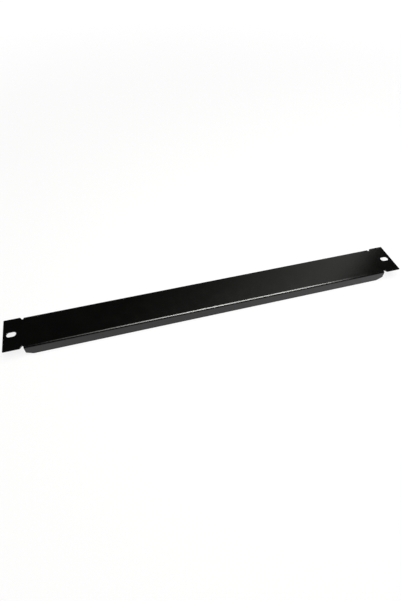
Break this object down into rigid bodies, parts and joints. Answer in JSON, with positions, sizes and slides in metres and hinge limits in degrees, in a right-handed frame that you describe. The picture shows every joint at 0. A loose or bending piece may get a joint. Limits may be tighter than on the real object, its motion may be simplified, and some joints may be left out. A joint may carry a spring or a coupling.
{
  "type": "rack blanking panel",
  "caption": "Flat sheet-metal panel with its long edges folded back and a slotted ear at each end, closing an unused space in an equipment rack.",
  "frame": {"origin": "on the back face, midway between the two mounting slots, where the panel meets the rack's posts", "axes": "+X along the panel, +Y across its height, +Z out of its front face; it lies on its flanges' free edges with the front face up"},
  "size_m": [0.4826, 0.0436, 0.0133],
  "materials": {
    "black_powder_coat": "semi-gloss powder coat"
  },
  "bodies": {
    "root": {"blanking_panel": "black_powder_coat"}
  },
  "joints": []
}
